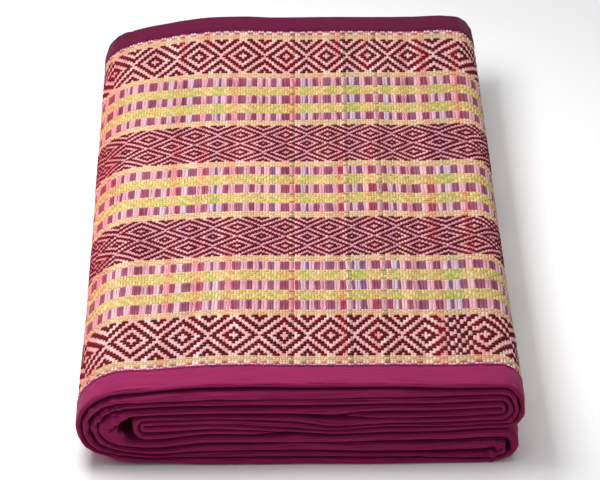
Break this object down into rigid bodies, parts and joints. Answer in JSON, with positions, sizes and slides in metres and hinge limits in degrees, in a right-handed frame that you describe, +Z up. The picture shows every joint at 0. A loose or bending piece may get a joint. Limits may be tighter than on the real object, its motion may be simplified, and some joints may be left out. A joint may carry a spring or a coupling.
{
  "type": "woven grass floor mat",
  "caption": "Long woven grass floor mat with striped and diamond twill bands and cloth-bound long edges, folded into a flat rectangular bundle.",
  "frame": {"origin": "on the floor under the middle of the folded bundle", "axes": "+X across the bundle to the side of the two stacked folds, +Y along the folds (across the mat's width), +Z up"},
  "size_m": [0.305, 0.61, 0.062],
  "materials": {
    "woven_grass": "matt split grass with a slight sheen, woven in bands",
    "binding_cloth": "matt plain-woven cotton"
  },
  "bodies": {
    "root": {"mat_panel": "woven_grass", "binding_front": "binding_cloth", "binding_back": "binding_cloth"}
  },
  "joints": []
}
